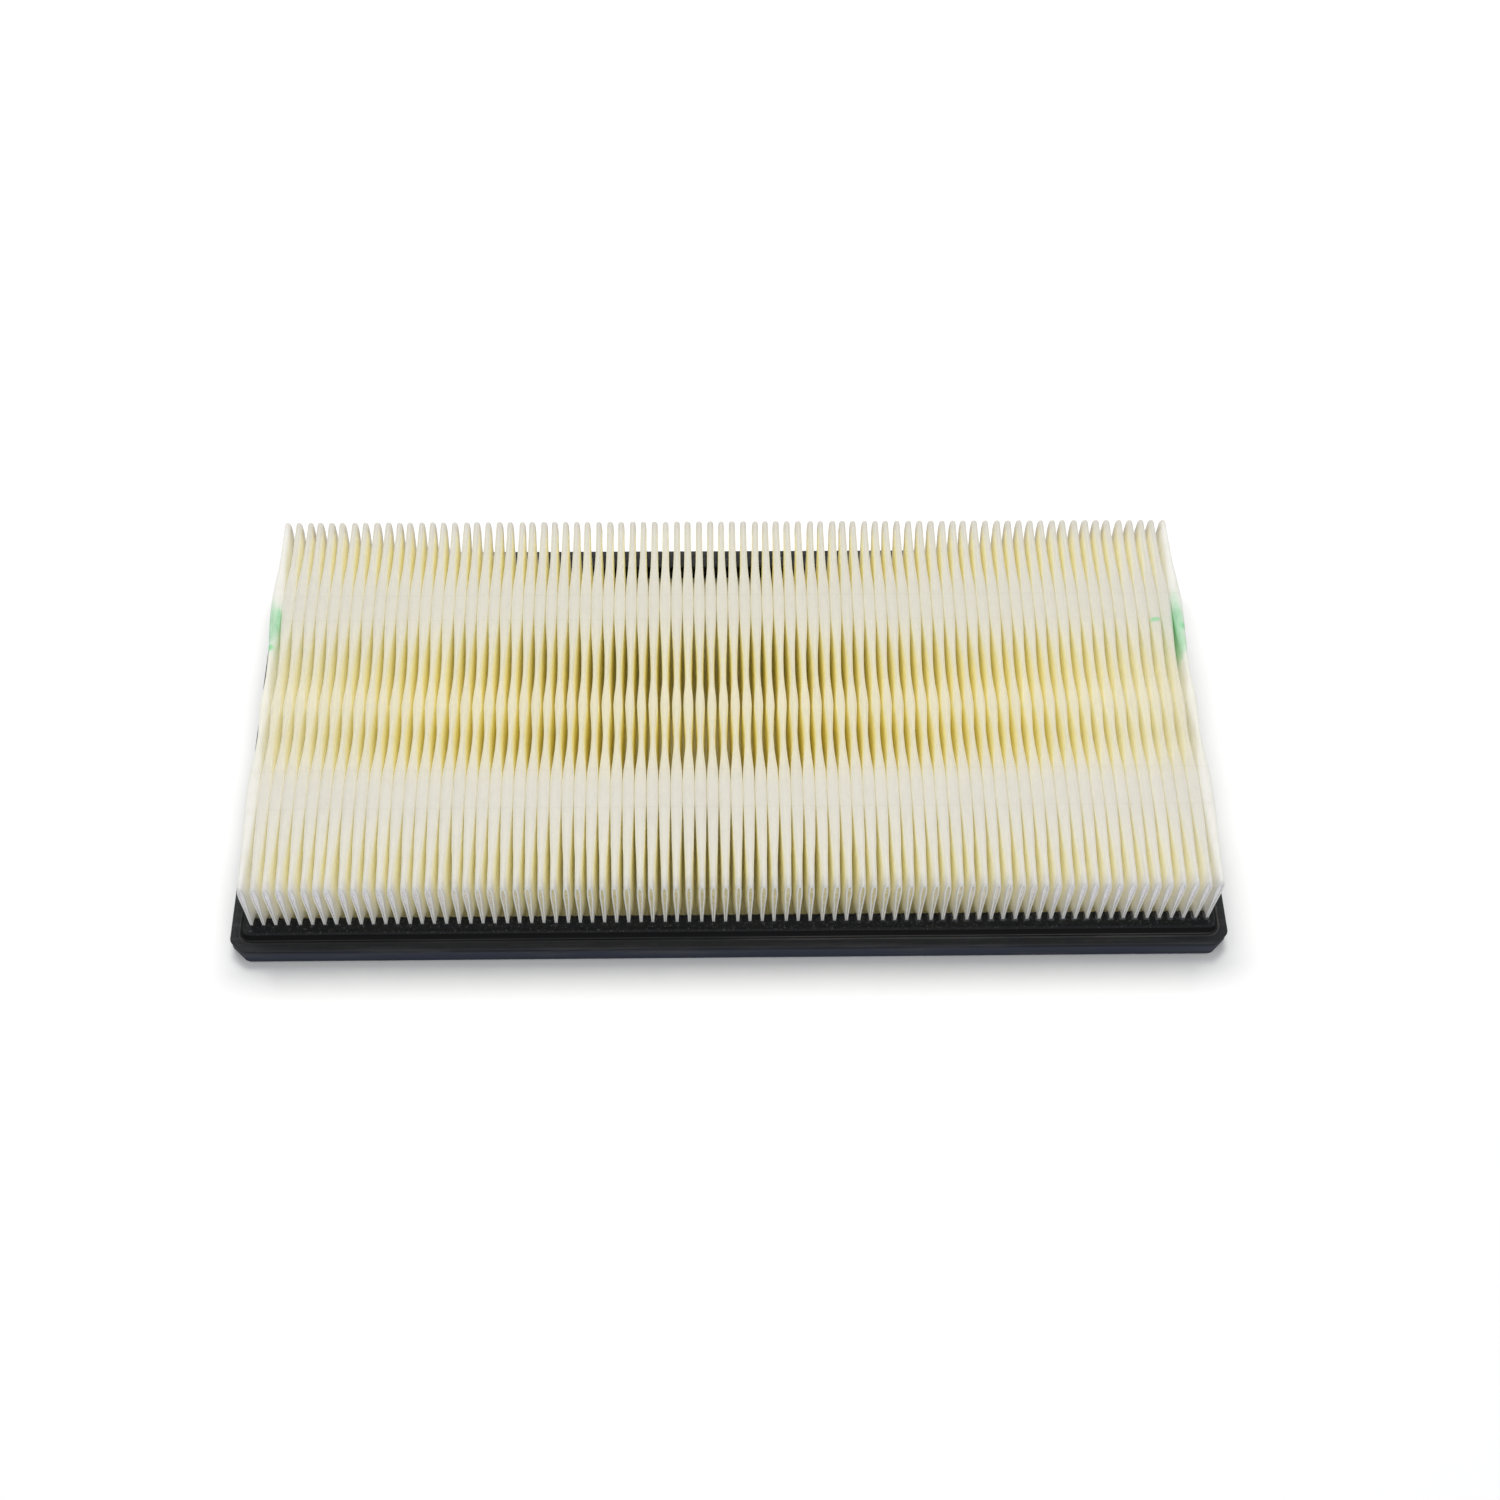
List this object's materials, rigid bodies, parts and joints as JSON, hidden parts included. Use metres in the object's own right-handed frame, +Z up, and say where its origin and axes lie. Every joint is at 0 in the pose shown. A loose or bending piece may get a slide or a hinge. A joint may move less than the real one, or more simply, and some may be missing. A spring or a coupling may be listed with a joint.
{
  "type": "panel air filter",
  "caption": "Flat rectangular engine air filter: an embossed pleated paper medium cast into a soft black frame with a flat sealing lip.",
  "frame": {"origin": "middle of the frame's underside, the face it rests on", "axes": "+X along the long side, across the pleats; +Y along the pleats, to the rear; +Z up, to the dirty side"},
  "size_m": [0.2988, 0.1518, 0.0302],
  "materials": {
    "frame_polyurethane": "satin moulded skin",
    "filter_paper": "matt, fibrous, lightly oiled",
    "seal_glue": "translucent satin hot-melt"
  },
  "bodies": {
    "root": {"frame": "frame_polyurethane", "pleated_media": "filter_paper", "front_end_seals": "seal_glue", "rear_end_seals": "seal_glue"}
  },
  "joints": []
}
